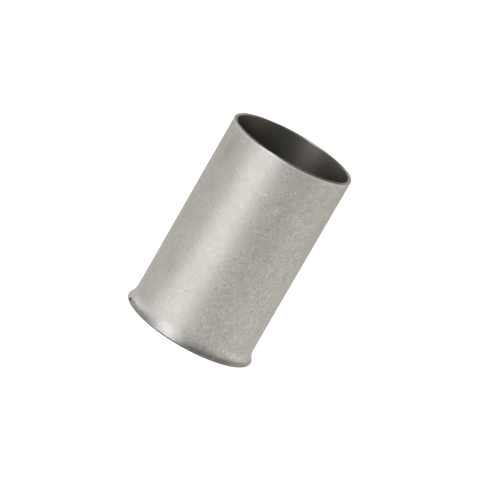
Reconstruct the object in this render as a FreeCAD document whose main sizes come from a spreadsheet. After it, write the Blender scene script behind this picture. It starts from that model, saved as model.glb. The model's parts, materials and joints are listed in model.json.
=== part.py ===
# Bare wire ferrule: an end sleeve with no plastic collar, for one thick stranded conductor.
# It is one piece of thin drawn copper tube, tin plated. One end is cut square and its edges are broken.
# The other end is flared by a punch: the wall bends outwards round a radius, runs on as a short cone and
# ends in a lip that stands square to the sheet, so the wall keeps its thickness all the way.
#
# Millimetres, +Z up. The axis is Z and the flared mouth points down, so the origin is the centre of the
# ring that the lip stands on, and the cut end is at the sleeve's length.

import FreeCAD
import Part
import Sketcher
import math
import os

# The driving dimensions: name, value, what it measures.
DRIVING_DIMENSIONS = [
    ("bore_diameter", 14.6, "inside of the straight sleeve, mm"),
    ("wall_thickness", 0.4, "thickness of the sheet everywhere, mm"),
    ("sleeve_length", 25.0, "from the ring it stands on to the cut end, mm"),
    ("bend_radius", 2.7, "on the outside, where the wall turns into the flare, mm"),
    ("flare_angle", 30.0, "between the flare's cone and the axis, degrees"),
    ("cone_length", 0.24, "straight run of the cone from its bend to the lip, mm"),
    ("lip_round", 0.15, "radius on both edges of the flared lip, mm"),
    ("rim_round", 0.15, "radius on the outer edge of the cut end, mm"),
    ("bore_break", 0.1, "chamfer on the inner edge of the cut end, mm"),
]
# A round or a chamfer takes at most this share of the wall, so two of them always leave some flat.
WALL_SHARE = 0.45

# The section's edges in the order they are drawn, from the outer wall round the lip and up the bore.
OUTSIDE, BEND_OUT, CONE_OUT, LIP_OUT, LIP_FACE, LIP_IN, CONE_IN, BEND_IN, BORE, RIM = range(10)
# A sketch's names for an edge's start, end and centre, and for its own origin.
START, END, CENTRE = 1, 2, 3
ORIGIN = (-1, 1)

# How near a circle's radius and height must come to be the edge looked for, in millimetres.
SAME_PLACE = 1e-4


def fill_sheet(sheet):
    """Write every driving dimension to its own cell, under its own alias."""
    for row, (name, value, meaning) in enumerate(DRIVING_DIMENSIONS, start=1):
        sheet.set(f"A{row}", name)
        sheet.set(f"B{row}", str(value))
        sheet.set(f"C{row}", meaning)
        sheet.setAlias(f"B{row}", name)


def within_wall(alias):
    """Expression for a round or a chamfer that the wall's thickness limits."""
    return f"min(Dimensions.{alias}; {WALL_SHARE} * Dimensions.wall_thickness)"


def lip_round_within_wall(sheet):
    """Radius of the lip's edges as within_wall gives it."""
    return min(sheet.lip_round, WALL_SHARE * sheet.wall_thickness)


def section_edges(sheet):
    """The wall's section as it stands at these sizes: x is the radius, y the height."""
    wall = sheet.wall_thickness
    flare = math.radians(sheet.flare_angle)
    bore_radius = sheet.bore_diameter / 2
    outer_radius = bore_radius + wall
    lip_round = lip_round_within_wall(sheet)
    lip_flat = wall - 2 * lip_round
    point = FreeCAD.Vector

    # Unit directions at the lip: out through the flared sheet, and along it to its end.
    through = point(math.cos(flare), math.sin(flare))
    along = point(math.sin(flare), -math.cos(flare))

    # The lip's inner round touches the ground, and the rest follows up the sheet from the lip.
    reach = sheet.bend_radius * (1 - math.cos(flare)) + sheet.cone_length * math.sin(flare)
    cone_out_end = point(outer_radius + reach, lip_round + (wall - lip_round) * math.sin(flare))
    cone_out_start = cone_out_end - along * sheet.cone_length
    bend_centre = cone_out_start + through * sheet.bend_radius
    lip_out_centre = cone_out_end - through * lip_round
    lip_in_centre = lip_out_centre - through * lip_flat
    cone_in_end = cone_out_end - through * wall
    cone_in_start = cone_out_start - through * wall

    def arc(centre, radius, first, last):
        return Part.ArcOfCircle(Part.Circle(centre, point(0, 0, 1), radius), first, last)

    rim_out = point(outer_radius, sheet.sleeve_length)
    rim_in = point(bore_radius, sheet.sleeve_length)
    square = math.pi / 2
    return [
        Part.LineSegment(rim_out, point(outer_radius, bend_centre.y)),
        arc(bend_centre, sheet.bend_radius, math.pi, math.pi + flare),
        Part.LineSegment(cone_out_start, cone_out_end),
        arc(lip_out_centre, lip_round, flare - square, flare),
        Part.LineSegment(lip_out_centre + along * lip_round, lip_in_centre + along * lip_round),
        arc(lip_in_centre, lip_round, flare - math.pi, flare - square),
        Part.LineSegment(cone_in_end, cone_in_start),
        arc(bend_centre, sheet.bend_radius + wall, math.pi, math.pi + flare),
        Part.LineSegment(point(bore_radius, bend_centre.y), rim_in),
        Part.LineSegment(rim_in, rim_out),
    ]


def draw_section(body, sheet):
    """Sketch the section in the XZ plane, held by its joints, its directions and the sheet."""
    sketch = body.newObject("Sketcher::SketchObject", "WallSection")
    plane = next(feature for feature in body.Origin.OriginFeatures if feature.Role == "XZ_Plane")
    sketch.AttachmentSupport = [(plane, "")]
    sketch.MapMode = "FlatFace"
    sketch.addGeometry(section_edges(sheet), False)

    def hold(kind, *where):
        return sketch.addConstraint(Sketcher.Constraint(kind, *where))

    def drive(name, expression, kind, *where):
        sketch.renameConstraint(hold(kind, *where), name)
        sketch.setExpression(f"Constraints.{name}", expression)

    # The outline runs smoothly from the outer wall, round the lip, to the bore.
    hold("Tangent", OUTSIDE, END, BEND_OUT, START)
    hold("Tangent", BEND_OUT, END, CONE_OUT, START)
    hold("Tangent", CONE_OUT, END, LIP_OUT, END)
    hold("Tangent", LIP_OUT, START, LIP_FACE, START)
    hold("Tangent", LIP_FACE, END, LIP_IN, END)
    hold("Tangent", LIP_IN, START, CONE_IN, START)
    hold("Tangent", CONE_IN, END, BEND_IN, END)
    hold("Tangent", BEND_IN, START, BORE, START)
    hold("Coincident", BORE, END, RIM, START)
    hold("Coincident", RIM, END, OUTSIDE, START)

    # The walls stand along the axis, the rim is square to it, and both faces of the sheet run side by side.
    hold("Vertical", OUTSIDE)
    hold("Vertical", BORE)
    hold("Horizontal", RIM)
    hold("Coincident", BEND_OUT, CENTRE, BEND_IN, CENTRE)
    hold("Parallel", CONE_OUT, CONE_IN)
    hold("Perpendicular", CONE_OUT, LIP_FACE)
    hold("Equal", LIP_OUT, LIP_IN)

    bore_radius = sheet.bore_diameter / 2
    flare = math.radians(sheet.flare_angle)
    lip_round = lip_round_within_wall(sheet)
    drive("bore", "Dimensions.bore_diameter / 2", "DistanceX", *ORIGIN, BORE, END, bore_radius)
    drive("wall", "Dimensions.wall_thickness", "DistanceX", BORE, END, OUTSIDE, START, sheet.wall_thickness)
    drive("length", "Dimensions.sleeve_length", "DistanceY", *ORIGIN, BORE, END, sheet.sleeve_length)
    drive("bend", "Dimensions.bend_radius", "Radius", BEND_OUT, sheet.bend_radius)
    drive("flare", "Dimensions.flare_angle", "Angle", OUTSIDE, START, CONE_OUT, START, flare)
    drive("cone", "Dimensions.cone_length", "Distance", CONE_OUT, sheet.cone_length)
    drive("lip", within_wall("lip_round"), "Radius", LIP_OUT, lip_round)
    drive("ground", within_wall("lip_round"), "DistanceY", *ORIGIN, LIP_IN, CENTRE, lip_round)
    return sketch


def ring_edge(shape, radius, height):
    """Name of the circular edge with this radius at this height."""
    for number, edge in enumerate(shape.Edges, start=1):
        circle = edge.Curve
        if not isinstance(circle, Part.Circle):
            continue
        if abs(circle.Radius - radius) < SAME_PLACE and abs(circle.Center.z - height) < SAME_PLACE:
            return f"Edge{number}"
    raise RuntimeError(f"no ring edge of radius {radius} at height {height}")


def build_sleeve(document, sheet):
    """Draw the tube by turning its section once round, then break both edges of the cut end."""
    body = document.addObject("PartDesign::Body", "Sleeve")
    body.Label = "sleeve"
    section = draw_section(body, sheet)

    tube = body.newObject("PartDesign::Revolution", "DrawnTube")
    tube.Profile = section
    tube.ReferenceAxis = (section, ["V_Axis"])
    tube.Angle = 360
    section.Visibility = False
    document.recompute()

    bore_radius = sheet.bore_diameter / 2
    outer_edge = ring_edge(tube.Shape, bore_radius + sheet.wall_thickness, sheet.sleeve_length)
    rim = body.newObject("PartDesign::Fillet", "RimRound")
    rim.Base = (tube, [outer_edge])
    rim.setExpression("Radius", within_wall("rim_round"))
    document.recompute()

    inner_edge = ring_edge(rim.Shape, bore_radius, sheet.sleeve_length)
    burr = body.newObject("PartDesign::Chamfer", "BoreBreak")
    burr.Base = (rim, [inner_edge])
    burr.setExpression("Size", within_wall("bore_break"))
    document.recompute()
    return body


def check_document(document, bodies):
    """Stop if any object failed to compute or any body isn't one valid solid."""
    for item in document.Objects:
        if "Invalid" in item.State or "Error" in item.State:
            raise RuntimeError(f"{item.Label} failed: {item.State}")
    for body in bodies:
        if body.Shape.isNull() or not body.Shape.isValid() or len(body.Shape.Solids) != 1:
            raise RuntimeError(f"{body.Label} is not one valid solid")


def main():
    document = FreeCAD.newDocument("wire_ferrule")
    sheet = document.addObject("Spreadsheet::Sheet", "Dimensions")
    fill_sheet(sheet)
    document.recompute()

    bodies = [build_sleeve(document, sheet)]
    check_document(document, bodies)
    os.makedirs("parts", exist_ok=True)
    for body in bodies:
        body.Shape.exportStep(f"parts/{body.Label}.step")
        box = body.Shape.optimalBoundingBox()
        size = f"{box.XLength:.3f} x {box.YLength:.3f} x {box.ZLength:.3f} mm"
        print(f"{body.Label}: {size}, {body.Shape.Volume:.2f} mm3, lowest {box.ZMin:.4f} mm")


main()
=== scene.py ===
"""Studio scene of a bare wire ferrule: one tin-plated copper sleeve, flared at the end it stands on.

The sleeve's surface is a profile carried once round the axis, worked out with numpy. Its wall comes from
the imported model's two mounts and its height from the model's box. The sizes of the flare, the lip and the
cut end's edges repeat those of the part's source. Metres, +Z up.
"""

import json
import logging
import math
from dataclasses import dataclass, field
from enum import Enum

import bpy
import numpy as np
from mathutils import Matrix, Vector


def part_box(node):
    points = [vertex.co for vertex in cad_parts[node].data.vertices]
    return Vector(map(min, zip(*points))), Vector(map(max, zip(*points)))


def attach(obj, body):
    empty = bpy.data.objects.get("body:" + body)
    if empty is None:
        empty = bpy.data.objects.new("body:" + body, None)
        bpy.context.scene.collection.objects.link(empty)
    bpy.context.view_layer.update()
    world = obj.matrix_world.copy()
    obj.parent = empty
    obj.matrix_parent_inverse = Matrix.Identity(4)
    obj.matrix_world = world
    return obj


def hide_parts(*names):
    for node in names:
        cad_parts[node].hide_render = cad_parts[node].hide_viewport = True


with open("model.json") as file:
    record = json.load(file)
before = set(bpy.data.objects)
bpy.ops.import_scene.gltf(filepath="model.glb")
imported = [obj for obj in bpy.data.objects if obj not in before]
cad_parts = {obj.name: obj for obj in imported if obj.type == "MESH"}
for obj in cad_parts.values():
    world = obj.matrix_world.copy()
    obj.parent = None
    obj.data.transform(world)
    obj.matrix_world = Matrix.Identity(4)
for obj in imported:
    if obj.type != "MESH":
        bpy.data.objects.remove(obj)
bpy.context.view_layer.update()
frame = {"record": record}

NODE = "sleeve"
BODY = "root"
MILLIMETRE = 0.001

log = logging.getLogger("ferrule")


class Skin(Enum):
    """The sleeve's surfaces, in the order of its material slots."""

    OUTSIDE = 0
    LINING = 1
    RIM = 2
    LIP = 3


def compass(azimuth: float) -> Vector:
    """Level direction from the axis at an azimuth in degrees: 0 is towards the camera, 90 to its right."""
    return Vector((math.sin(math.radians(azimuth)), -math.cos(math.radians(azimuth)), 0.0))


def run(start: tuple[float, float], end: tuple[float, float], rows: int) -> np.ndarray:
    """Points of a straight stretch of the outline.

    Formula: start + (end - start) * k / rows for k from 0 to rows - 1. The end belongs to the next stretch.

    Args:
        start: radius and height where the stretch starts.
        end: radius and height where it ends.
        rows: how many points it gets.

    Returns:
        An array of rows by 2, radius and height.
    """
    share = np.arange(rows)[:, None] / rows
    return np.asarray(start) + (np.asarray(end) - np.asarray(start)) * share


def turn(centre: tuple[float, float], radius: float, first: float, last: float, rows: int) -> np.ndarray:
    """Points of an arc of the outline.

    Formula: centre + radius * (cos a, sin a), with a going evenly from first towards last. The end belongs
    to the next stretch.

    Args:
        centre: radius and height of the arc's centre.
        radius: the arc's own radius.
        first: angle where it starts, in radians.
        last: angle where it ends, in radians.
        rows: how many points it gets.

    Returns:
        An array of rows by 2, radius and height.
    """
    angle = first + (last - first) * np.arange(rows) / rows
    return np.asarray(centre) + radius * np.stack([np.cos(angle), np.sin(angle)], axis=1)


@dataclass(frozen=True)
class SheetSection:
    """Section of the sheet that the sleeve is made of, as radius and height in metres.

    The guard is the width of a narrow row beside each break, which keeps a flat stretch flat up to it.
    """

    bore_radius: float
    outer_radius: float
    length: float
    bend_radius: float = 2.7 * MILLIMETRE
    flare: float = math.radians(30.0)
    cone_length: float = 0.24 * MILLIMETRE
    lip_round: float = 0.15 * MILLIMETRE
    rim_round: float = 0.15 * MILLIMETRE
    bore_break: float = 0.1 * MILLIMETRE
    guard: float = 0.01 * MILLIMETRE

    @property
    def wall(self) -> float:
        """Thickness of the sheet."""
        return self.outer_radius - self.bore_radius

    @property
    def bend_height(self) -> float:
        """Height at which the straight wall starts to bend outwards."""
        cone_end = self.lip_round + (self.wall - self.lip_round) * math.sin(self.flare)
        return cone_end + self.cone_length * math.cos(self.flare) + self.bend_radius * math.sin(self.flare)

    @property
    def lip_radius(self) -> float:
        """Largest radius, on the round of the flared lip.

        Formula: outer + (bend + round) * (1 - cos flare) + cone * sin flare.

        Returns:
            The radius in metres.
        """
        reach = (self.bend_radius + self.lip_round) * (1 - math.cos(self.flare))
        return self.outer_radius + reach + self.cone_length * math.sin(self.flare)

    def stretches(self) -> list[tuple[Skin, np.ndarray]]:
        """The closed outline in order: down the outside, round the lip, up the bore and over the rim.

        Formula: with u along the flared sheet and w out through it, the cone ends at a point E, the lip's
        two rounds are centred at E - w * round and E - w * (wall - round), and both bends turn about
        E - u * cone + w * bend. Each stretch gives its surface first and its number of rows last.

        Returns:
            One pair for each stretch: the surface it belongs to, and its points.
        """
        flare, square = self.flare, math.pi / 2
        along = np.array([math.sin(flare), -math.cos(flare)])
        through = np.array([math.cos(flare), math.sin(flare)])
        bend = np.array([self.outer_radius + self.bend_radius, self.bend_height])
        out_start = bend - through * self.bend_radius
        out_end = out_start + along * self.cone_length
        lip_out = out_end - through * self.lip_round
        lip_in = out_end - through * (self.wall - self.lip_round)
        in_end = out_end - through * self.wall
        in_start = out_start - through * self.wall
        top = self.length
        rim_centre = (self.outer_radius - self.rim_round, top - self.rim_round)
        wall_top = (self.outer_radius, rim_centre[1])
        wall_foot = (self.outer_radius, self.bend_height)
        bore_foot = (self.bore_radius, self.bend_height)
        bore_top = (self.bore_radius, top - self.bore_break)
        rim_in = (self.bore_radius + self.bore_break, top)
        rim_out = (rim_centre[0], top)
        end_round = self.lip_round * along
        guard = self.guard
        below_break = (self.bore_radius, bore_top[1] - guard)
        past_break = (rim_in[0] + guard, top)
        before_round = (rim_out[0] - guard, top)
        below_round = (self.outer_radius, wall_top[1] - guard)
        return [
            (Skin.OUTSIDE, run(wall_top, below_round, 1)),
            (Skin.OUTSIDE, run(below_round, wall_foot, 44)),
            (Skin.OUTSIDE, turn(tuple(bend), self.bend_radius, math.pi, math.pi + flare, 18)),
            (Skin.OUTSIDE, run(tuple(out_start), tuple(out_end), 4)),
            (Skin.OUTSIDE, turn(tuple(lip_out), self.lip_round, flare, flare - square, 10)),
            (Skin.LIP, run(tuple(lip_out + end_round), tuple(lip_in + end_round), 2)),
            (Skin.LIP, turn(tuple(lip_in), self.lip_round, flare - square, flare - math.pi, 10)),
            (Skin.LINING, run(tuple(in_end), tuple(in_start), 3)),
            (Skin.LINING, turn(tuple(bend), self.bend_radius + self.wall, math.pi + flare, math.pi, 12)),
            (Skin.LINING, run(bore_foot, below_break, 30)),
            (Skin.LINING, run(below_break, bore_top, 1)),
            (Skin.RIM, run(bore_top, rim_in, 2)),
            (Skin.RIM, run(rim_in, past_break, 1)),
            (Skin.RIM, run(past_break, before_round, 3)),
            (Skin.RIM, run(before_round, rim_out, 1)),
            (Skin.RIM, turn(rim_centre, self.rim_round, square, 0.0, 8)),
        ]


@dataclass(frozen=True)
class Unevenness:
    """How far the punched flare and the cut end stray from true, in metres, all within the true shape."""

    flare_short: float = 0.07 * MILLIMETRE
    flare_full_at: float = math.radians(-20.0)
    lip_lift: float = 0.03 * MILLIMETRE
    lip_waves: tuple[int, ...] = (2, 3, 7)
    lip_phases: tuple[float, ...] = (0.4, 1.9, 0.7)
    rim_dip: float = 0.04 * MILLIMETRE
    rim_depth: float = 0.6 * MILLIMETRE
    rim_waves: tuple[int, ...] = (5, 9, 17, 31, 47)
    rim_phases: tuple[float, ...] = (1.1, 0.2, 2.4, 0.9, 4.0)

    def waves(self, angle: np.ndarray, counts: tuple[int, ...], phases: tuple[float, ...]) -> np.ndarray:
        """Sum of a few waves round the sleeve, brought to run from 0 to 1.

        Formula: the sum over n of cos(n * angle + phase) / n, less its lowest value, over its range.

        Args:
            angle: angles round the axis.
            counts: how many waves each term has round the sleeve.
            phases: where each term starts.

        Returns:
            One value for each angle.
        """
        total = sum(np.cos(count * angle + phase) / count for count, phase in zip(counts, phases))
        return (total - total.min()) / (total.max() - total.min())

    def apply(self, radius: np.ndarray, height: np.ndarray, angle: np.ndarray, section: SheetSection) -> None:
        """Pull the flare in on one side, lift its lip and dip the rim a little, in place.

        Formula: below the bend the radius loses short * (1 - cos(angle - full)) / 2 and the height gains
        lift * waves, both times the square of the share of the way down to the lip. Near the rim the
        height loses dip * waves, times the square of the share of the way up from rim_depth below it.

        Args:
            radius: radii on the grid of outline rows by angle columns.
            height: heights on the same grid.
            angle: the columns' angles.
            section: the sheet's section.
        """
        down = np.clip((section.bend_height - height) / section.bend_height, 0.0, 1.0) ** 2
        up = np.clip((height - section.length + self.rim_depth) / self.rim_depth, 0.0, 1.0) ** 2
        radius -= down * self.flare_short * (1 - np.cos(angle - self.flare_full_at)) / 2
        height += down * self.lip_lift * self.waves(angle, self.lip_waves, self.lip_phases)
        height -= up * self.rim_dip * self.waves(angle, self.rim_waves, self.rim_phases)


@dataclass
class Sleeve:
    """The whole ferrule: one sheet of tinned copper turned round the axis."""

    section: SheetSection
    unevenness: Unevenness = field(default_factory=Unevenness)
    columns: int = 560
    name: str = "tinned_sleeve"

    def build(self) -> bpy.types.Object:
        """Carry the section once round the axis and make it a mesh with a slot for each surface.

        Formula: row i, column j lies at (radius * cos a, radius * sin a, height), a = 2 pi * j / columns.
        Rows and columns both close on themselves, so the skin has no seam and no pole.

        Returns:
            The sleeve's object, standing at the origin.
        """
        stretches = self.section.stretches()
        outline = np.concatenate([points for _, points in stretches])
        skins = np.concatenate([np.full(len(points), skin.value) for skin, points in stretches])
        rows = len(outline)
        angle = np.linspace(0.0, 2 * math.pi, self.columns, endpoint=False)
        radius = np.repeat(outline[:, :1], self.columns, axis=1)
        height = np.repeat(outline[:, 1:], self.columns, axis=1)
        self.unevenness.apply(radius, height, angle, self.section)
        points = np.stack([radius * np.cos(angle), radius * np.sin(angle), height], axis=-1)

        row, column = np.meshgrid(np.arange(rows), np.arange(self.columns), indexing="ij")
        next_row, next_column = (row + 1) % rows, (column + 1) % self.columns
        corners = [(row, column), (next_row, column), (next_row, next_column), (row, next_column)]
        faces = np.stack([i * self.columns + j for i, j in corners], axis=-1).reshape(-1, 4)

        mesh = bpy.data.meshes.new(self.name)
        mesh.from_pydata(points.reshape(-1, 3), [], faces)
        mesh.polygons.foreach_set("material_index", np.repeat(skins, self.columns))
        mesh.polygons.foreach_set("use_smooth", np.ones(len(faces), dtype=bool))
        mesh.update()
        piece = bpy.data.objects.new(self.name, mesh)
        bpy.context.scene.collection.objects.link(piece)
        return piece

    def dress(self, piece: bpy.types.Object, finishes: dict[Skin, bpy.types.Material]) -> None:
        """Give each surface its finish and let the piece stand for the solid sleeve.

        Args:
            piece: the sleeve's object.
            finishes: a material for each surface.
        """
        for skin in Skin:
            piece.data.materials.append(finishes[skin])
        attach(piece, BODY)
        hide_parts(NODE)


class NodeBoard:
    """Lays nodes in one shader tree and wires them."""

    # A Mix node's sockets for colours, which share their names with those for numbers and vectors.
    MIX_INPUTS = (0, 6, 7)
    MIX_OUTPUT = 2
    # The Vector Math operations that give a number.
    NUMBER_OPERATIONS = ("LENGTH", "DOT_PRODUCT")

    def __init__(self, tree: bpy.types.NodeTree) -> None:
        """Start on an empty tree."""
        self.tree = tree
        self.tree.nodes.clear()

    def add(self, kind: str, **settings: object) -> bpy.types.Node:
        """Place a node.

        Args:
            kind: the node's type name.
            settings: properties to set on it.

        Returns:
            The new node.
        """
        node = self.tree.nodes.new(kind)
        for name, value in settings.items():
            setattr(node, name, value)
        return node

    def feed(self, socket: bpy.types.NodeSocket, value: object) -> None:
        """Wire a socket into another, or set the plain value that is given instead.

        Args:
            socket: the input that is fed.
            value: an output, or a plain value.
        """
        if isinstance(value, bpy.types.NodeSocket):
            self.tree.links.new(value, socket)
        else:
            socket.default_value = value

    def group(self, tree: bpy.types.NodeTree, **inputs: object) -> bpy.types.Node:
        """Place a node group.

        Args:
            tree: the group.
            inputs: what its inputs get, by their names.

        Returns:
            The group's node.
        """
        node = self.add("ShaderNodeGroup", node_tree=tree)
        for name, value in inputs.items():
            self.feed(node.inputs[name], value)
        return node

    def math(self, operation: str, *values: object) -> bpy.types.NodeSocket:
        """A Math node.

        Args:
            operation: what it works out.
            values: its inputs, sockets or numbers.

        Returns:
            Its result.
        """
        node = self.add("ShaderNodeMath", operation=operation)
        for socket, value in zip(node.inputs, values):
            self.feed(socket, value)
        return node.outputs["Value"]

    def vector(self, operation: str, *values: object) -> bpy.types.NodeSocket:
        """A Vector Math node.

        Args:
            operation: what it works out.
            values: its inputs, sockets or vectors.

        Returns:
            Its number where the operation gives one, and otherwise its vector.
        """
        node = self.add("ShaderNodeVectorMath", operation=operation)
        for socket, value in zip(node.inputs, values):
            self.feed(socket, value)
        return node.outputs["Value" if operation in self.NUMBER_OPERATIONS else "Vector"]

    def spread(
        self, value: object, low: object, high: object, to_low: object, to_high: object
    ) -> bpy.types.NodeSocket:
        """A smooth Map Range from low..high to to_low..to_high.

        Args:
            value: what is mapped.
            low: value that gives to_low.
            high: value that gives to_high.
            to_low: result at low.
            to_high: result at high.

        Returns:
            The mapped value.
        """
        node = self.add("ShaderNodeMapRange", interpolation_type="SMOOTHSTEP")
        names = ("Value", "From Min", "From Max", "To Min", "To Max")
        for name, number in zip(names, (value, low, high, to_low, to_high)):
            self.feed(node.inputs[name], number)
        return node.outputs["Result"]

    def noise(
        self, vector: object, scale: object, detail: float, rough: float = 0.5, twist: float = 0.0
    ) -> bpy.types.NodeSocket:
        """Noise of one size and its finer layers.

        Args:
            vector: where it is read.
            scale: features in a unit of the vector.
            detail: how many finer layers it has.
            rough: how strong each finer layer is.
            twist: how far it is swirled.

        Returns:
            Its value, about 0.5 on average.
        """
        node = self.add("ShaderNodeTexNoise")
        names = ("Vector", "Scale", "Detail", "Roughness", "Distortion")
        for name, number in zip(names, (vector, scale, detail, rough, twist)):
            self.feed(node.inputs[name], number)
        return node.outputs["Fac"]

    def blend(self, share: object, low: object, high: object, mode: str = "MIX") -> bpy.types.NodeSocket:
        """A Mix node for colours.

        Args:
            share: how much of high is taken.
            low: colour at 0.
            high: colour at 1.
            mode: how they are blended.

        Returns:
            The blended colour.
        """
        node = self.add("ShaderNodeMix", data_type="RGBA", blend_type=mode)
        for number, value in zip(self.MIX_INPUTS, (share, low, high)):
            self.feed(node.inputs[number], value)
        return node.outputs[self.MIX_OUTPUT]


def shader_group(
    name: str, inputs: dict[str, tuple[str, object]], outputs: dict[str, str]
) -> tuple[bpy.types.NodeTree, NodeBoard]:
    """Start a shader node group with named sockets.

    Args:
        name: the group's name.
        inputs: each input's socket type and default value.
        outputs: each output's socket type.

    Returns:
        The group and a board to lay its nodes on.
    """
    group = bpy.data.node_groups.new(name, "ShaderNodeTree")
    for label, (kind, default) in inputs.items():
        socket = group.interface.new_socket(label, in_out="INPUT", socket_type=kind)
        if default is not None:
            socket.default_value = default
    for label, kind in outputs.items():
        group.interface.new_socket(label, in_out="OUTPUT", socket_type=kind)
    return group, NodeBoard(group)


@dataclass(frozen=True)
class CloudLayer:
    """One layer of the mottle: its features in a millimetre, finer layers, their strength, and its share."""

    per_millimetre: float
    detail: float
    rough: float
    share: float


CLOUD_LAYERS = (
    CloudLayer(per_millimetre=0.33, detail=2.0, rough=0.5, share=0.22),
    CloudLayer(per_millimetre=1.3, detail=3.0, rough=0.6, share=0.33),
    CloudLayer(per_millimetre=4.2, detail=3.0, rough=0.6, share=0.45),
)
# The cloud's values where the plating is roughest and where it is smoothest.
CLOUD_DULL, CLOUD_BRIGHT = 0.35, 0.65
# A pit is full up to the first distance from its middle and gone at the second, in cells.
PIT_CORE, PIT_EDGE = 0.05, 0.2
# How much of the swirled noise one ripple of a curl takes, and how strongly curls keep to patches.
CURL_WAVE = 0.17
CURL_PATCHES = 0.6
# Curls start where their noise passes the first value and are full at the second.
CURL_START, CURL_FULL = 0.26, 0.36
# Cosines to the middle of the rubbed side where the rubbing starts and where it is full.
RUBBED_START, RUBBED_FULL = 0.76, 0.96
# A placed mark is gone this far from its middle, as a share of its size.
MARK_EDGE = 0.6


def plating_group() -> bpy.types.NodeTree:
    """Cloudy mottle of a matte plating: one mask for its colour and gloss, and a height for its grain.

    Formula: Cloud is the sum of three noises, about 3 mm, 0.8 mm and 0.25 mm across, times their shares.
    Grain is noise about 0.15 mm across with finer layers.

    Returns:
        The node group.
    """
    inputs = {"Vector": ("NodeSocketVector", None)}
    outputs = {"Cloud": "NodeSocketFloat", "Grain": "NodeSocketFloat"}
    group, board = shader_group("matte_plating", inputs, outputs)
    place = board.add("NodeGroupInput").outputs["Vector"]
    result = board.add("NodeGroupOutput").inputs
    cloud = 0.0
    for layer in CLOUD_LAYERS:
        value = board.noise(place, layer.per_millimetre, layer.detail, layer.rough)
        cloud = board.math("MULTIPLY_ADD", value, layer.share, cloud)
    board.feed(result["Cloud"], cloud)
    board.feed(result["Grain"], board.noise(place, scale=7.0, detail=4.0, rough=0.65))
    return group


def marks_group() -> bpy.types.NodeTree:
    """Small random marks: dark pits, and patches of short curled ripples, dark and light in turn.

    Formula: a pit is a Voronoi cell's middle, kept where the cell's random number is under Pits. The curls
    are the sine of a swirled noise, so that they run along its contours. They are kept where a second noise
    less Curls is high, and most in patches.

    Returns:
        The node group.
    """
    number = "NodeSocketFloat"
    inputs = {"Vector": ("NodeSocketVector", None), "Pits": (number, 0.15), "Curls": (number, 0.5)}
    group, board = shader_group("handling_marks", inputs, {"Pit": number, "Curl": number})
    given = board.add("NodeGroupInput").outputs
    result = board.add("NodeGroupOutput").inputs
    place = given["Vector"]

    cells = board.add("ShaderNodeTexVoronoi", feature="F1")
    board.feed(cells.inputs["Vector"], place)
    board.feed(cells.inputs["Scale"], 1.9)
    chance = board.add("ShaderNodeSeparateColor")
    board.feed(chance.inputs["Color"], cells.outputs["Color"])
    kept = board.math("LESS_THAN", chance.outputs["Red"], given["Pits"])
    dot = board.spread(cells.outputs["Distance"], PIT_CORE, PIT_EDGE, 1.0, 0.0)
    board.feed(result["Pit"], board.math("MULTIPLY", kept, dot))

    swirl = board.noise(place, scale=1.25, detail=1.0, twist=1.2)
    ripple = board.math("SINE", board.math("MULTIPLY", swirl, 2 * math.pi / CURL_WAVE))
    patches = board.noise(place, scale=0.35, detail=1.0)
    spots = board.math("MULTIPLY_ADD", patches, CURL_PATCHES, board.noise(place, scale=1.7, detail=0.0))
    bare = board.math("SUBTRACT", spots, given["Curls"])
    gate = board.spread(bare, CURL_START, CURL_FULL, 0.0, 1.0)
    board.feed(result["Curl"], board.math("MULTIPLY", ripple, gate))
    return group


def rubbed_group() -> bpy.types.NodeTree:
    """How far a place is rubbed smooth by handling, on one side of the sleeve.

    Formula: Rubbed times the smoothstep of the cosine between the place's direction from the axis and
    Facing.

    Returns:
        The node group.
    """
    vector = ("NodeSocketVector", None)
    inputs = {"Vector": vector, "Facing": vector, "Rubbed": ("NodeSocketFloat", 0.0)}
    group, board = shader_group("rubbed_side", inputs, {"Share": "NodeSocketFloat"})
    given = board.add("NodeGroupInput").outputs
    result = board.add("NodeGroupOutput").inputs
    level = board.vector("MULTIPLY", given["Vector"], (1.0, 1.0, 0.0))
    cosine = board.vector("DOT_PRODUCT", board.vector("NORMALIZE", level), given["Facing"])
    board.feed(result["Share"], board.spread(cosine, RUBBED_START, RUBBED_FULL, 0.0, given["Rubbed"]))
    return group


def placed_mark_group() -> bpy.types.NodeTree:
    """One mark at a known place.

    Formula: the place is moved to the mark's middle and turned, so that X runs along the mark and Z across
    it, and divided by its size. The mark has its full Strength up to MARK_EDGE less Fade from its middle,
    and is gone at MARK_EDGE, by smoothstep.

    Returns:
        The node group.
    """
    vector = ("NodeSocketVector", None)
    inputs = {
        "Vector": vector, "Middle": vector, "Turn": vector, "Size": ("NodeSocketVector", (1.0, 1.0, 1.0)),
        "Strength": ("NodeSocketFloat", 0.2), "Fade": ("NodeSocketFloat", 0.35),
    }
    group, board = shader_group("placed_mark", inputs, {"Mask": "NodeSocketFloat"})
    given = board.add("NodeGroupInput").outputs
    result = board.add("NodeGroupOutput").inputs
    local = board.add("ShaderNodeMapping", vector_type="TEXTURE")
    board.feed(local.inputs["Vector"], given["Vector"])
    board.feed(local.inputs["Location"], given["Middle"])
    board.feed(local.inputs["Rotation"], given["Turn"])
    board.feed(local.inputs["Scale"], given["Size"])
    away = board.vector("LENGTH", local.outputs["Vector"])
    full = board.math("SUBTRACT", MARK_EDGE, given["Fade"])
    board.feed(result["Mask"], board.spread(away, full, MARK_EDGE, given["Strength"], 0.0))
    return group


@dataclass(frozen=True)
class Effects:
    """The node groups that all finishes share."""

    plating: bpy.types.NodeTree
    marks: bpy.types.NodeTree
    rubbed: bpy.types.NodeTree
    placed: bpy.types.NodeTree


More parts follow.
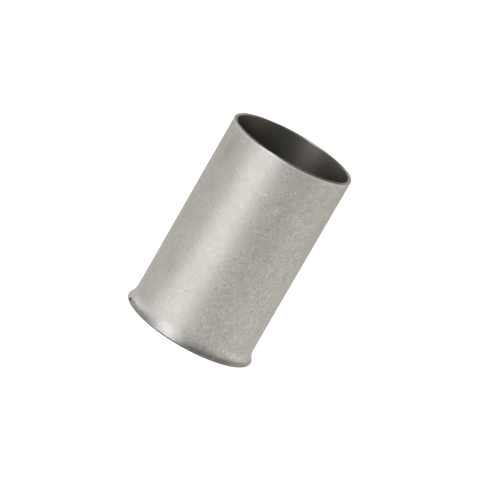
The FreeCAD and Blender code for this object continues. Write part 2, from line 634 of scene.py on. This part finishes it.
@dataclass(frozen=True)
class Mark:
    """One mark seen at a known place: a dark dash, dot or band, or a wide and slightly duller patch.
    Some of the bands are painted shade.

    Azimuth and slope are in degrees. Height, length, width and the surface's radius are in millimetres.
    """

    azimuth: float
    height: float
    length: float
    width: float
    slope: float
    strength: float
    radius: float = 7.7
    fade: float = 0.35

    def mask(
        self, board: NodeBoard, group: bpy.types.NodeTree, place: bpy.types.NodeSocket
    ) -> bpy.types.NodeSocket:
        """How much of the mark is at a place.

        Formula: its middle lies at its azimuth, radius and height. Its depth through the sheet is three
        times its length, so that the surface's curve takes little off it.

        Args:
            board: where its node is laid.
            group: the group for one placed mark.
            place: Object coordinates, in millimetres.

        Returns:
            Its strength, 0 outside the mark.
        """
        middle = compass(self.azimuth) * self.radius + Vector((0.0, 0.0, self.height))
        turned = (0.0, math.radians(self.slope), math.radians(self.azimuth))
        size = (self.length, 3 * self.length, self.width)
        sizes = {"Middle": middle, "Turn": turned, "Size": size}
        node = board.group(group, Vector=place, Strength=self.strength, Fade=self.fade, **sizes)
        return node.outputs["Mask"]


# Most marks are random. These are the ones that the eye finds first. The bands along the lip,
# at azimuths -62, -48, 9 and 52, are painted shade; the others are marks on the plating.
OUTSIDE_MARKS_AND_PAINTED_SHADE = (
    Mark(azimuth=-70.0, height=0.3, length=0.95, width=0.72, slope=0.0, strength=0.95, radius=8.1, fade=0.3),
    # Painted shade: dark bands along the lip on the left, where the flare mirrors the dark room and the
    # shaded table.
    Mark(azimuth=-62.0, height=0.22, length=4.0, width=0.9, slope=0.0, strength=0.4, radius=8.1, fade=0.16),
    Mark(azimuth=-48.0, height=0.15, length=3.9, width=0.85, slope=-2.0, strength=0.3, radius=8.15, fade=0.2),
    Mark(azimuth=-55.0, height=22.3, length=3.0, width=5.5, slope=0.0, strength=0.17, fade=0.6),
    Mark(azimuth=-52.0, height=17.5, length=3.5, width=2.5, slope=20.0, strength=0.08, fade=0.6),
    Mark(azimuth=-50.0, height=7.0, length=2.5, width=3.5, slope=-20.0, strength=0.08, fade=0.6),
    # Painted shade: dark bands along the lip in front and on the right.
    Mark(azimuth=9.0, height=0.15, length=3.6, width=1.1, slope=0.0, strength=0.3, radius=8.1),
    Mark(azimuth=52.0, height=0.25, length=7.8, width=1.05, slope=0.0, strength=0.36, radius=8.1, fade=0.4),
    Mark(azimuth=-5.7, height=17.3, length=0.75, width=0.16, slope=4.0, strength=0.16),
    Mark(azimuth=-11.5, height=9.5, length=0.3, width=0.14, slope=-25.0, strength=0.22),
    Mark(azimuth=10.5, height=12.0, length=0.45, width=0.2, slope=25.0, strength=0.2),
    Mark(azimuth=4.5, height=10.3, length=0.5, width=0.16, slope=-30.0, strength=0.18),
    Mark(azimuth=-34.5, height=10.4, length=0.4, width=0.14, slope=-40.0, strength=0.25),
    Mark(azimuth=-45.0, height=6.4, length=0.5, width=0.2, slope=-30.0, strength=0.22),
    Mark(azimuth=-48.5, height=7.4, length=0.4, width=0.2, slope=-20.0, strength=0.2),
)
# The cut end's ring is duller on its near right and on its left: painted shade, where the ring
# turns away from the key light.
RIM_PAINTED_SHADE = (
    Mark(azimuth=48.0, height=25.0, length=9.0, width=1.4, slope=0.0, strength=0.5, radius=7.5, fade=0.45),
    Mark(azimuth=-78.0, height=25.0, length=6.0, width=1.4, slope=0.0, strength=0.15, radius=7.5, fade=0.45),
)


@dataclass(frozen=True)
class TinPlate:
    """Matte tin plating: how clean, rough, marked and rubbed it is, and its painted shade and highlights.

    Heights are in millimetres, the grain's depth in metres and the rubbed side's azimuth in degrees.
    """

    name: str
    bright: tuple[float, float, float]
    dull: tuple[float, float, float]
    roughness: float
    roughness_swing: float
    mottle: float
    pits: float
    curls: float
    grain_depth: float
    # Placed marks; on the outside, some of them are painted shade.
    marks: tuple[Mark, ...] = ()
    # Colour of pits and marks, also used for painted shade.
    stain_and_shade: tuple[float, float, float] = (0.06, 0.055, 0.05)
    pit_stain: float = 0.3
    # The ripples' tone paints shade in their hollows and a highlight on their crests.
    ripple_shade_and_highlight: float = 0.15
    ripple_height: float = 0.5
    rubbed: float = 0.0
    rubbed_azimuth: float = -27.0
    rubbed_curls: float = 0.3
    rubbed_mottle: float = 0.08
    rubbed_grain: float = 0.5
    # A brighter band near the cut end: partly the cut's polish, partly a painted highlight on its edge.
    polish_and_highlight_above: float = 1000.0
    polish_and_highlight: float = 1.12
    polish_and_highlight_blend: float = 0.12
    drawn_out: float = 0.0
    drawn_turn: float = 0.25
    edge: float = 1.0

    def marks_and_painted_shade(
        self, board: NodeBoard, effects: Effects, place: bpy.types.NodeSocket, pit: bpy.types.NodeSocket
    ) -> bpy.types.NodeSocket:
        """How far a place is darkened by pits, placed marks and painted shade.

        Formula: the largest of pit_stain * pit and the masks of the placed marks.

        Args:
            board: where the nodes are laid.
            effects: the groups that finishes share.
            place: Object coordinates, in millimetres.
            pit: the mask of the random pits.

        Returns:
            The share of the dark colour that pits, marks and painted shade take.
        """
        stain_and_shade = board.math("MULTIPLY", pit, self.pit_stain)
        for mark in self.marks:
            stain_and_shade = board.math("MAXIMUM", stain_and_shade, mark.mask(board, effects.placed, place))
        return stain_and_shade

    def colour(
        self, board: NodeBoard, cloud: bpy.types.NodeSocket, curl: bpy.types.NodeSocket,
        rubbed: bpy.types.NodeSocket, place: bpy.types.NodeSocket,
    ) -> bpy.types.NodeSocket:
        """The plating's colour before pits, marks and painted shade darken it.

        Formula: dull to bright by the smoothstep of the cloud, mottle to each side of its middle and wider
        where rubbed, times a brighter band near the cut end plus the ripples' tone times curl. The band is
        partly the cut's polish and partly a painted highlight; the ripples' tone is painted shade in their
        hollows and painted highlight on their crests.

        Args:
            board: where the nodes are laid.
            cloud: the mottle.
            curl: the ripples.
            rubbed: how far the place is rubbed.
            place: Object coordinates, in millimetres.

        Returns:
            The colour.
        """
        swing = board.math("MULTIPLY_ADD", rubbed, self.rubbed_mottle, self.mottle)
        low, high = board.math("SUBTRACT", 0.5, swing), board.math("ADD", 0.5, swing)
        share = board.spread(cloud, low, high, 0.0, 1.0)
        clean = board.blend(share, (*self.dull, 1.0), (*self.bright, 1.0))
        parts = board.add("ShaderNodeSeparateXYZ")
        board.feed(parts.inputs["Vector"], place)
        # Painted highlight, partly the cut's polish: the colour is raised near the cut end.
        top = self.polish_and_highlight_above
        polish_and_highlight = board.spread(parts.outputs["Z"], top, top + self.polish_and_highlight_blend, 1.0, self.polish_and_highlight)
        # Painted shade in the ripples' hollows and painted highlight on their crests.
        tone = board.math("MULTIPLY_ADD", curl, self.ripple_shade_and_highlight, polish_and_highlight)
        return board.blend(1.0, clean, tone, "MULTIPLY")

    def relief(
        self, board: NodeBoard, grain: bpy.types.NodeSocket, curl: bpy.types.NodeSocket,
        rubbed: bpy.types.NodeSocket,
    ) -> bpy.types.NodeSocket:
        """The normal that the fine grain and the ripples give.

        Formula: height = (grain + ripple_height * curl) * (1 - rubbed_grain * rubbed).

        Args:
            board: where the nodes are laid.
            grain: the grain's height.
            curl: the ripples.
            rubbed: how far the place is rubbed.

        Returns:
            The normal.
        """
        height = board.math("MULTIPLY_ADD", curl, self.ripple_height, grain)
        smooth = board.math("MULTIPLY_ADD", rubbed, -self.rubbed_grain, 1.0)
        bump = board.add("ShaderNodeBump")
        bump.inputs["Distance"].default_value = self.grain_depth
        bump.inputs["Strength"].default_value = 1.0
        board.feed(bump.inputs["Height"], board.math("MULTIPLY", height, smooth))
        return bump.outputs["Normal"]

    def material(self, effects: Effects) -> bpy.types.Material:
        """Build the finish: a metal whose colour, roughness and relief change over the surface.

        Formula: the dark marks, the painted shade and the relief are as their methods say. The roughness
        goes from its value plus the swing, where the cloud is dull, to its value less the swing, where it is
        bright. At grazing angles the metal mirrors edge times the light, and drawn_out stretches its gloss
        along the axis.

        Args:
            effects: the groups that finishes share.

        Returns:
            The material.
        """
        material = bpy.data.materials.new(self.name)
        material.use_nodes = True
        board = NodeBoard(material.node_tree)
        scale = board.add("ShaderNodeMapping")
        scale.inputs["Scale"].default_value = (1 / MILLIMETRE,) * 3
        board.feed(scale.inputs["Vector"], board.add("ShaderNodeTexCoord").outputs["Object"])
        place = scale.outputs["Vector"]
        facing = compass(self.rubbed_azimuth)
        rubbed = board.group(effects.rubbed, Vector=place, Facing=facing, Rubbed=self.rubbed).outputs["Share"]
        curls = board.math("MULTIPLY_ADD", rubbed, self.rubbed_curls, self.curls)
        skin = board.group(effects.plating, Vector=place).outputs
        wear = board.group(effects.marks, Vector=place, Pits=self.pits, Curls=curls).outputs

        clean = self.colour(board, skin["Cloud"], wear["Curl"], rubbed, place)
        stain_and_shade = self.marks_and_painted_shade(board, effects, place, wear["Pit"])
        rough, smooth = self.roughness + self.roughness_swing, self.roughness - self.roughness_swing
        roughness = board.spread(skin["Cloud"], CLOUD_DULL, CLOUD_BRIGHT, rough, smooth)
        shader = board.add("ShaderNodeBsdfPrincipled")
        shader.inputs["Metallic"].default_value = 1.0
        shader.inputs["Specular Tint"].default_value = (self.edge, self.edge, self.edge, 1.0)
        shader.inputs["Anisotropic"].default_value = self.drawn_out
        shader.inputs["Anisotropic Rotation"].default_value = self.drawn_turn
        board.feed(shader.inputs["Base Color"], board.blend(stain_and_shade, clean, (*self.stain_and_shade, 1.0)))
        board.feed(shader.inputs["Roughness"], roughness)
        board.feed(shader.inputs["Normal"], self.relief(board, skin["Grain"], wear["Curl"], rubbed))
        output = board.add("ShaderNodeOutputMaterial")
        board.feed(output.inputs["Surface"], shader.outputs["BSDF"])
        return material


@dataclass(frozen=True)
class Panel:
    """A soft upright panel of light that faces the sleeve's axis."""

    name: str
    azimuth: float
    distance: float
    width: float
    foot: float
    top: float
    radiance: float
    colour: tuple[float, float, float] = (1.0, 1.0, 1.0)

    def build(self) -> bpy.types.Object:
        """Hang the light, with the power that gives its face the radiance asked for.

        Formula: power = radiance * pi * width * height.

        Returns:
            The light's object.
        """
        tall = self.top - self.foot
        lamp = bpy.data.lights.new(self.name, "AREA")
        lamp.shape = "RECTANGLE"
        lamp.size, lamp.size_y = self.width, tall
        lamp.energy = self.radiance * math.pi * self.width * tall
        lamp.color = self.colour
        away = compass(self.azimuth)
        held = bpy.data.objects.new(self.name, lamp)
        held.location = away * self.distance + Vector((0.0, 0.0, self.foot + tall / 2))
        held.rotation_euler = away.to_track_quat("Z", "Y").to_euler()
        held.visible_camera = False
        bpy.context.scene.collection.objects.link(held)
        return held


@dataclass(frozen=True)
class Camera:
    """The photograph's camera: a long lens, a little above the sleeve and rolled on its own axis."""

    distance: float = 0.53138
    elevation: float = math.radians(14.39)
    roll: float = math.radians(30.015)
    focal_pixels: float = 4594.0
    frame_pixels: float = 480.0
    sensor_width: float = 36.0
    aside_pixels: tuple[float, float] = (0.355, 1.12)

    def build(self, target: Vector) -> bpy.types.Object:
        """Place the camera so that the target lies aside_pixels from the middle of the unrolled frame.

        Formula: it looks at the target less right and up times the aside lengths, from the distance along
        back, which rises by the elevation. A pixel is distance / focal_pixels long there.

        Args:
            target: the middle of the sleeve.

        Returns:
            The camera's object.
        """
        lens = bpy.data.cameras.new("camera")
        lens.sensor_width = self.sensor_width
        lens.lens = self.focal_pixels * self.sensor_width / self.frame_pixels
        right = Vector((1.0, 0.0, 0.0))
        back = Vector((0.0, -math.cos(self.elevation), math.sin(self.elevation)))
        up = back.cross(right)
        pixel = self.distance / self.focal_pixels
        middle = target - right * (self.aside_pixels[0] * pixel) - up * (self.aside_pixels[1] * pixel)
        place = middle + back * self.distance
        level = Matrix((right, up, back)).transposed()
        held = bpy.data.objects.new("camera", lens)
        held.matrix_world = Matrix.Translation(place) @ (level @ Matrix.Rotation(self.roll, 3, "Z")).to_4x4()
        bpy.context.scene.collection.objects.link(held)
        bpy.context.scene.camera = held
        return held


@dataclass
class Studio:
    """White light table, pale walls under a dark ceiling, and soft panels of light.

    The wedge's angles are in degrees and lengths are in metres. The facings are cosines to the key panel.
    """

    floor_half: float = 3.0
    floor_colour: tuple[float, float, float] = (0.3, 0.3, 0.3)
    paper_white: float = 0.985
    # Painted shade: how bright the camera sees the table inside the sleeve's mouth.
    inside_white: float = 0.25
    floor_glow_near: float = 0.87
    floor_glow_far: float = 0.73
    glow_inner: float = 30.0 * MILLIMETRE
    glow_outer: float = 90.0 * MILLIMETRE
    wedge_glow: float = 1.56
    wedge_inner: float = 13.0
    wedge_outer: float = 35.0
    cool: tuple[float, float, float] = (0.985, 0.98, 0.98)
    warm: tuple[float, float, float] = (1.06, 1.055, 0.995)
    cool_facing: float = 0.9
    warm_facing: float = -0.7
    mouth_inner: float = 7.5 * MILLIMETRE
    mouth_outer: float = 7.9 * MILLIMETRE
    contact_inner: float = 8.2 * MILLIMETRE
    contact_outer: float = 10.2 * MILLIMETRE
    room_colour: tuple[float, float, float] = (0.8, 0.8, 0.8)
    wall_light: float = 0.85
    ceiling_light: float = 0.06
    wall_top: float = 0.42
    ceiling_edge: float = 0.62
    panels: tuple[Panel, ...] = (
        Panel(
            "key", azimuth=-33.0, distance=0.5, width=0.31, foot=0.02, top=0.45, radiance=2.7,
            colour=(0.95, 0.97, 1.03),
        ),
        Panel(
            "sky", azimuth=-33.0, distance=0.5, width=0.31, foot=0.45, top=1.6, radiance=4.4,
            colour=(0.90, 0.95, 1.0),
        ),
        Panel(
            "side", azimuth=-106.0, distance=0.6, width=0.9, foot=0.0, top=0.17, radiance=1.32,
            colour=(0.98, 0.98, 1.0),
        ),
        Panel(
            "fill", azimuth=98.0, distance=0.6, width=0.9, foot=0.0, top=0.14, radiance=1.45,
            colour=(1.0, 0.98, 0.92),
        ),
    )

    def paper(self) -> bpy.types.Material:
        """White paper that glows, most of all in a wedge towards the key panel.

        Formula: the glow goes by smoothstep from near to far with the distance from the axis, and from that
        to the wedge's with the cosine between a spot's direction and the key's. What the sleeve mirrors
        fades out where it stands, as its own shade does there. The camera sees white, dimmed in the mouth
        as painted shade.

        Returns:
            The material.
        """
        material = bpy.data.materials.new("white_table")
        material.use_nodes = True
        board = NodeBoard(material.node_tree)
        place = board.add("ShaderNodeTexCoord").outputs["Object"]
        key = compass(self.panels[0].azimuth)
        cosine = board.vector("DOT_PRODUCT", board.vector("NORMALIZE", place), key)
        radius = board.vector("LENGTH", place)
        rings = (self.glow_inner, self.glow_outer, self.floor_glow_near, self.floor_glow_far)
        even = board.spread(radius, *rings)
        outer, inner = math.cos(math.radians(self.wedge_outer)), math.cos(math.radians(self.wedge_inner))
        wedge = board.spread(cosine, outer, inner, even, self.wedge_glow)
        clear = board.spread(radius, self.contact_inner, self.contact_outer, 0.0, 1.0)
        path = board.add("ShaderNodeLightPath").outputs
        mirrored = board.math("MAXIMUM", path["Is Glossy Ray"], path["Is Transmission Ray"])
        mirrored = board.math("MULTIPLY", mirrored, board.math("MULTIPLY", wedge, clear))
        # Painted shade: the table is dimmer inside the mouth.
        mouth = (self.mouth_inner, self.mouth_outer, self.inside_white, self.paper_white)
        white = board.spread(radius, *mouth)
        seen = board.math("MULTIPLY_ADD", path["Is Camera Ray"], white, mirrored)
        tint = board.spread(cosine, self.warm_facing, self.cool_facing, 0.0, 1.0)

        glow = board.add("ShaderNodeEmission")
        board.feed(glow.inputs["Color"], board.blend(tint, (*self.warm, 1.0), (*self.cool, 1.0)))
        board.feed(glow.inputs["Strength"], seen)
        matte = board.add("ShaderNodeBsdfDiffuse")
        matte.inputs["Color"].default_value = (*self.floor_colour, 1.0)
        both = board.add("ShaderNodeAddShader")
        board.feed(both.inputs[0], matte.outputs["BSDF"])
        board.feed(both.inputs[1], glow.outputs["Emission"])
        output = board.add("ShaderNodeOutputMaterial")
        board.feed(output.inputs["Surface"], both.outputs["Shader"])
        return material

    def floor(self) -> bpy.types.Object:
        """Lay the light table, a square of paper with its middle under the sleeve.

        Returns:
            The floor's object.
        """
        half = self.floor_half
        corners = [(-half, -half, 0), (half, -half, 0), (half, half, 0), (-half, half, 0)]
        mesh = bpy.data.meshes.new("floor")
        mesh.from_pydata(corners, [], [(0, 1, 2, 3)])
        mesh.materials.append(self.paper())
        table = bpy.data.objects.new("floor", mesh)
        bpy.context.scene.collection.objects.link(table)
        return table

    def surroundings(self) -> None:
        """Light the room evenly round the table and darken it towards the ceiling.

        Formula: smoothstep of the direction's height, from the wall's light to the ceiling's. The camera
        sees it at full strength.
        """
        world = bpy.data.worlds.new("studio")
        world.use_nodes = True
        board = NodeBoard(world.node_tree)
        direction = board.add("ShaderNodeTexCoord")
        parts = board.add("ShaderNodeSeparateXYZ")
        board.feed(parts.inputs["Vector"], direction.outputs["Generated"])
        height, edges = parts.outputs["Z"], (self.wall_top, self.ceiling_edge)
        strength = board.spread(height, *edges, self.wall_light, self.ceiling_light)
        path = board.add("ShaderNodeLightPath")
        light = board.add("ShaderNodeBackground")
        light.inputs["Color"].default_value = (*self.room_colour, 1.0)
        board.feed(light.inputs["Strength"], board.math("MAXIMUM", strength, path.outputs["Is Camera Ray"]))
        output = board.add("ShaderNodeOutputWorld")
        board.feed(output.inputs["Surface"], light.outputs["Background"])
        bpy.context.scene.world = world

    def build(self, target: Vector) -> None:
        """Set up floor, room, lights and camera.

        Args:
            target: the middle of the sleeve.
        """
        self.floor()
        self.surroundings()
        for panel in self.panels:
            panel.build()
        Camera().build(target)
        bpy.context.scene.view_settings.view_transform = "Standard"


def sheet_section() -> SheetSection:
    """The sleeve's section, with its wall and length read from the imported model.

    Returns:
        The section.
    """
    mounts = {mount["name"]: mount["dims"]["r_mm"] * MILLIMETRE for mount in frame["record"]["mounts"]}
    _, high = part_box(NODE)
    return SheetSection(bore_radius=mounts["bore"], outer_radius=mounts["outside"], length=high[2])


def finishes() -> dict[Skin, bpy.types.Material]:
    """Make the plating of the outside, the lining and the two cut edges. The lining and the lip are
    darker than the outside, as painted shade.

    Returns:
        A material for each surface.
    """
    effects = Effects(plating_group(), marks_group(), rubbed_group(), placed_mark_group())
    made = {
        Skin.OUTSIDE: TinPlate(
            "tin_outside", bright=(0.46, 0.44, 0.41), dull=(0.40, 0.38, 0.352), roughness=0.42,
            roughness_swing=0.035, mottle=0.13, pits=0.05, curls=0.35, grain_depth=0.009 * MILLIMETRE,
            marks=OUTSIDE_MARKS_AND_PAINTED_SHADE, rubbed=1.0, polish_and_highlight_above=24.6, edge=0.86,
        ),
        # Painted shade: the lining's colour is darker than the outside's, as the bore is in shade.
        Skin.LINING: TinPlate(
            "tin_lining_painted_shade", bright=(0.236, 0.218, 0.186), dull=(0.194, 0.178, 0.148), roughness=0.45,
            roughness_swing=0.04, mottle=0.15, pits=0.06, curls=0.7, grain_depth=0.004 * MILLIMETRE,
            drawn_out=0.42,
        ),
        Skin.RIM: TinPlate(
            "tin_rim", bright=(0.51, 0.49, 0.46), dull=(0.38, 0.365, 0.34), roughness=0.36,
            roughness_swing=0.05, mottle=0.2, pits=0.15, curls=0.8, grain_depth=0.004 * MILLIMETRE,
            marks=RIM_PAINTED_SHADE,
        ),
        # Painted shade: the lip's face is darker than the outside, where it faces the table close under it.
        Skin.LIP: TinPlate(
            "tin_lip_painted_shade", bright=(0.34, 0.325, 0.30), dull=(0.24, 0.225, 0.205), roughness=0.4,
            roughness_swing=0.05, mottle=0.2, pits=0.3, curls=0.8, grain_depth=0.006 * MILLIMETRE,
        ),
    }
    return {skin: finish.material(effects) for skin, finish in made.items()}


def main() -> None:
    """Build the sleeve, dress it and set up the studio, reporting each piece."""
    logging.basicConfig(level=logging.INFO, format="%(message)s")
    section = sheet_section()
    sleeve = Sleeve(section)
    piece = sleeve.build()
    sleeve.dress(piece, finishes())
    lip = section.lip_radius / MILLIMETRE
    log.info("%s: %d faces, lip radius %.3f mm", piece.name, len(piece.data.polygons), lip)
    Studio().build(Vector((0.0, 0.0, section.length / 2)))
    log.info("studio: floor, room, lights and camera")


if __name__ == "__main__":
    main()
